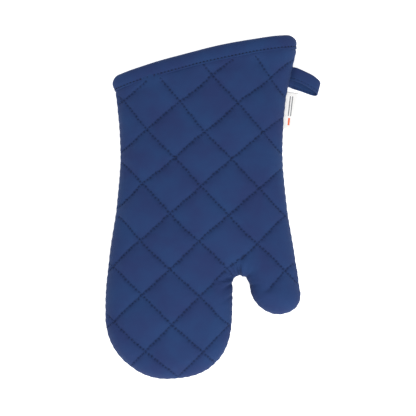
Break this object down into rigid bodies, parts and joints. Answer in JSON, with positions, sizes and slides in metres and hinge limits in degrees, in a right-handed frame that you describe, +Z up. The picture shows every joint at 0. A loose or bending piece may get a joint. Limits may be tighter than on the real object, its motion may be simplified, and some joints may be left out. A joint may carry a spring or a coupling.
{
  "type": "oven mitt",
  "caption": "Quilted cotton oven mitt with a rounded finger pocket, a thumb pocket, a bound cuff, a tape hanging loop and a folded side label.",
  "frame": {"origin": "middle of the bounding box at the underside, where the mitt lies on a surface", "axes": "+X to the thumb side, +Y from the finger end to the cuff, +Z up through the upper face"},
  "size_m": [0.2082, 0.3312, 0.039],
  "materials": {
    "outer_cloth": "matt cotton twill",
    "wadding": "matt fibre wadding",
    "lining": "matt cotton",
    "thread": "matt spun thread",
    "binding": "matt cotton twill",
    "tape": "matt cotton tape",
    "label": "smooth woven satin"
  },
  "bodies": {
    "palm": {"upper_cloth_palm": "outer_cloth", "upper_wadding_palm": "wadding", "upper_lining_palm": "lining", "upper_quilting_palm": "thread", "lower_cloth_palm": "outer_cloth", "lower_wadding_palm": "wadding", "lower_lining_palm": "lining", "lower_quilting_palm": "thread", "seam_thread_outer_side": "thread", "seam_thread_crotch": "thread", "seam_thread_thumb_side": "thread", "cuff_binding": "binding", "cuff_binding_stitching": "thread"},
    "thumb": {"upper_cloth_thumb": "outer_cloth", "upper_wadding_thumb": "wadding", "upper_lining_thumb": "lining", "upper_quilting_thumb": "thread", "lower_cloth_thumb": "outer_cloth", "lower_wadding_thumb": "wadding", "lower_lining_thumb": "lining", "lower_quilting_thumb": "thread", "seam_thread_thumb": "thread"},
    "fingers": {"upper_cloth_fingers": "outer_cloth", "upper_wadding_fingers": "wadding", "upper_lining_fingers": "lining", "upper_quilting_fingers": "thread", "lower_cloth_fingers": "outer_cloth", "lower_wadding_fingers": "wadding", "lower_lining_fingers": "lining", "lower_quilting_fingers": "thread", "seam_thread_fingers": "thread"},
    "loop": {"hanging_loop": "tape"},
    "label": {"side_label": "label"}
  },
  "joints": [
    {"name": "thumb_fold", "type": "hinge", "parent": "palm", "child": "thumb", "pos_m": [0.02484, -0.06822, 0.039], "axis": [-0.3552, -0.9348, 0], "range_deg": [0, 55], "stiffness_Nm_per_rad": 0.02},
    {"name": "finger_fold", "type": "hinge", "parent": "palm", "child": "fingers", "pos_m": [-0.04319, -0.07099, 0.039], "axis": [-1, 0, 0], "range_deg": [0, 75], "stiffness_Nm_per_rad": 0.03},
    {"name": "loop_swing", "type": "hinge", "parent": "palm", "child": "loop", "pos_m": [0.0763, 0.12812, 0.017], "axis": [-0.2177, -0.976, 0], "range_deg": [-50, 50], "stiffness_Nm_per_rad": 0.004},
    {"name": "label_flap", "type": "hinge", "parent": "palm", "child": "label", "pos_m": [0.07023, 0.09287, 0.017], "axis": [-0.1405, -0.9901, 0], "range_deg": [-60, 60], "stiffness_Nm_per_rad": 0.001}
  ]
}
